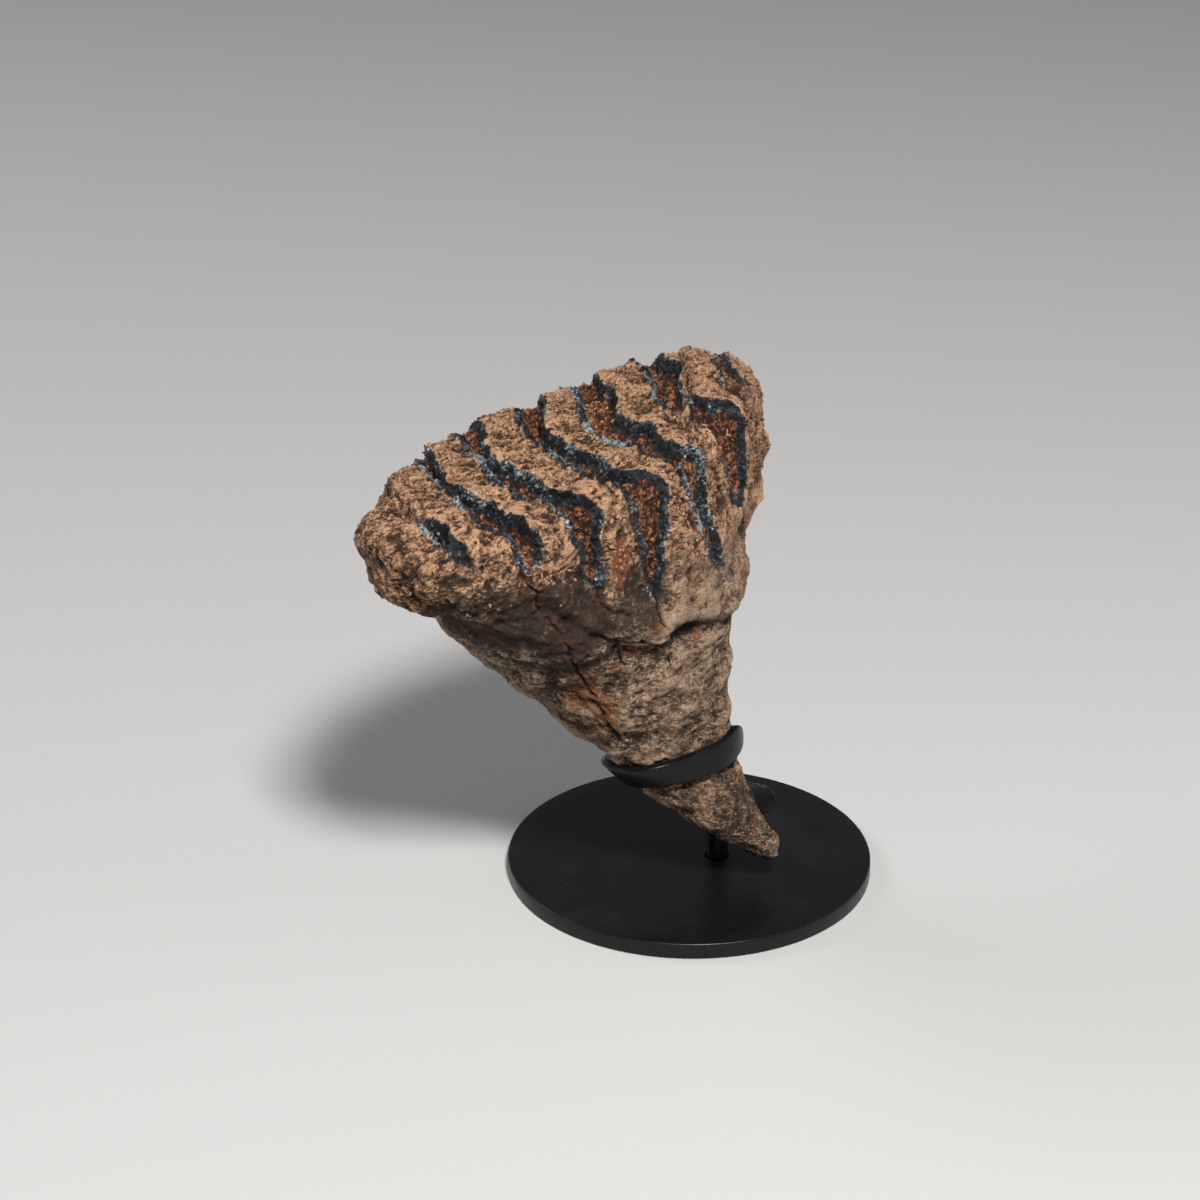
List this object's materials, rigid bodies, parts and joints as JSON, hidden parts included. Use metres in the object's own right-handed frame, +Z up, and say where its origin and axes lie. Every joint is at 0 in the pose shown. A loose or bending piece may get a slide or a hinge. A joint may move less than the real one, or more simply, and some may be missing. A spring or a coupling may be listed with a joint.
{
  "type": "woolly mammoth tooth on a display stand",
  "caption": "Fossil mammoth molar with worn enamel ridges, resting tip down in a bent metal strip on a short rod and a round base.",
  "frame": {"origin": "centre of the flat underside of the base disc", "axes": "+Z up; +X along the crown from its rounded end to its narrow end; -Y towards the side the picture was taken from"},
  "size_m": [0.1063, 0.07, 0.1],
  "materials": {
    "fossil_tooth": "rough, dry and unpolished",
    "black_metal": "satin black coating"
  },
  "bodies": {
    "root": {"tooth": "fossil_tooth", "cradle_strip": "black_metal", "post": "black_metal", "base_disc": "black_metal"}
  },
  "joints": []
}
